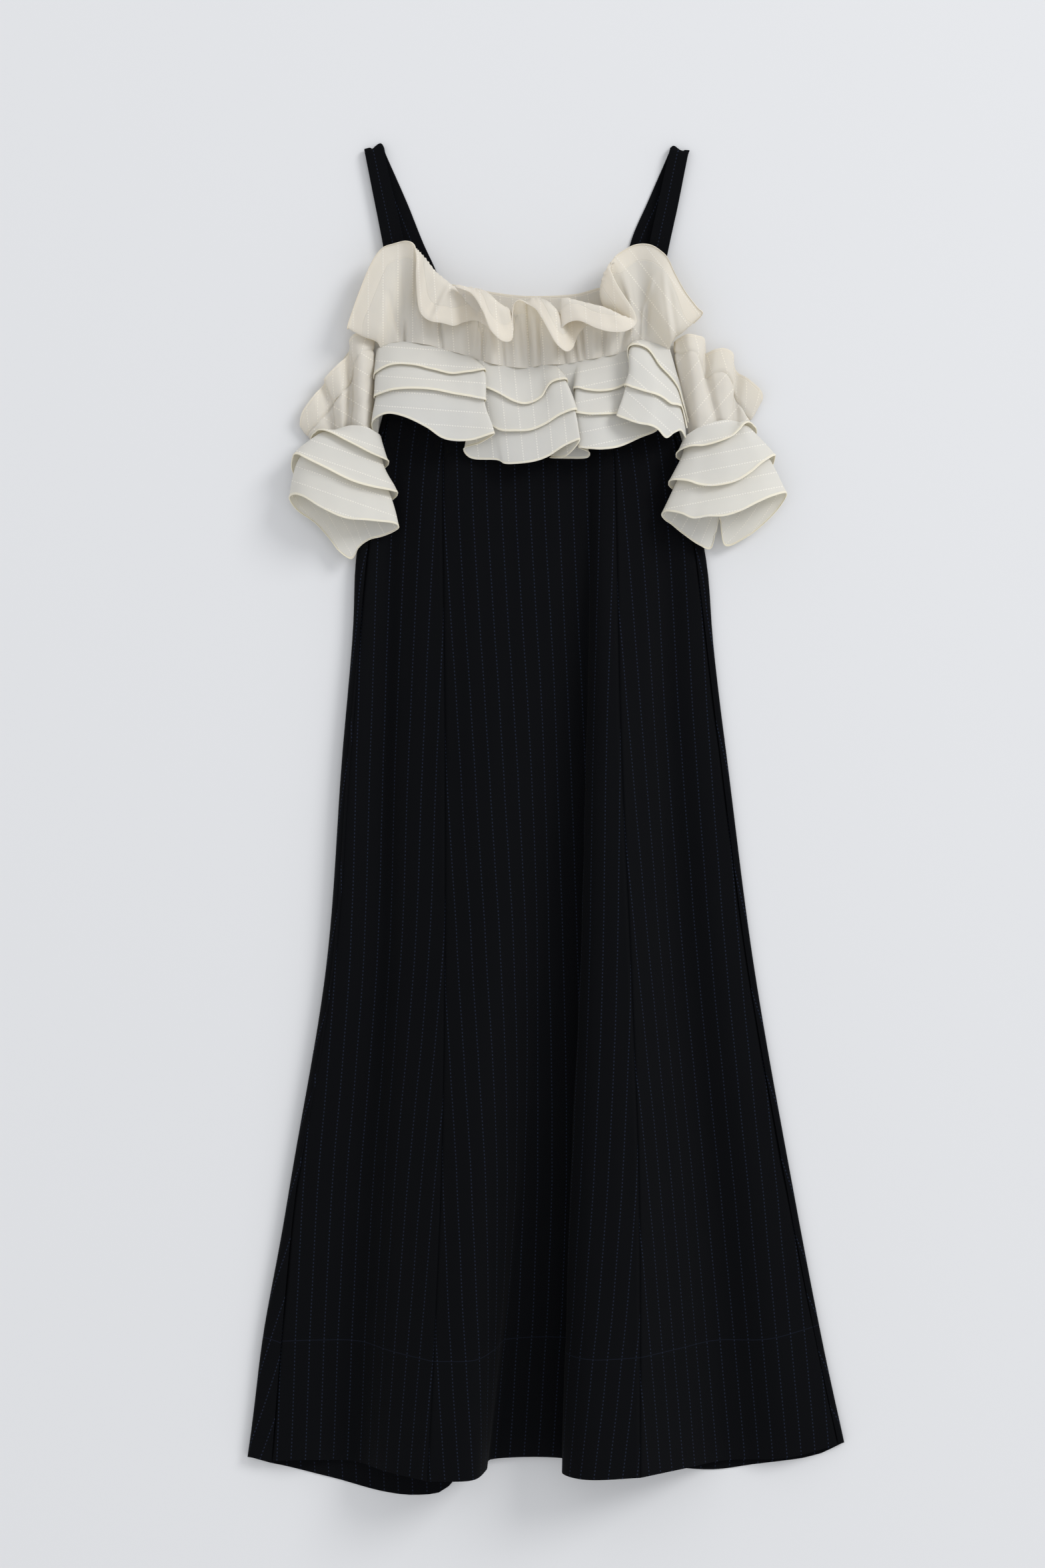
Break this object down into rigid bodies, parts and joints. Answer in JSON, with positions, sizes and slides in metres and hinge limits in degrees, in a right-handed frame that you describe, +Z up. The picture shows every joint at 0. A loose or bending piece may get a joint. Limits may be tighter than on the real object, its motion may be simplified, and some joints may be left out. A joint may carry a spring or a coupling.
{
  "type": "off-shoulder maxi dress",
  "caption": "Sleeveless-strap A-line maxi dress with a ruffled off-shoulder top, gathered sleeves and layered flounces, lying flat and face up.",
  "frame": {"origin": "middle of the dress's outline, on the surface it lies on", "axes": "+Z up out of the surface, +Y from the hem towards the straps, +X towards the wearer's left"},
  "size_m": [0.581, 1.3148, 0.0687],
  "materials": {
    "black_crepe": "matte",
    "cream_voile": "matte"
  },
  "bodies": {
    "root": {"strap_left": "black_crepe", "strap_right": "black_crepe", "front_centre": "black_crepe", "front_side_left": "black_crepe", "front_side_right": "black_crepe", "back_panel": "black_crepe", "back_band": "cream_voile", "front_frill": "cream_voile", "flounce_tier_1": "cream_voile", "flounce_tier_2": "cream_voile", "flounce_tier_3": "cream_voile", "sleeve_frill_left": "cream_voile", "sleeve_left": "cream_voile", "cuff_left_tier_1": "cream_voile", "cuff_left_tier_2": "cream_voile", "cuff_left_tier_3": "cream_voile", "sleeve_frill_right": "cream_voile", "sleeve_right": "cream_voile", "cuff_right_tier_1": "cream_voile", "cuff_right_tier_2": "cream_voile", "cuff_right_tier_3": "cream_voile"}
  },
  "joints": []
}
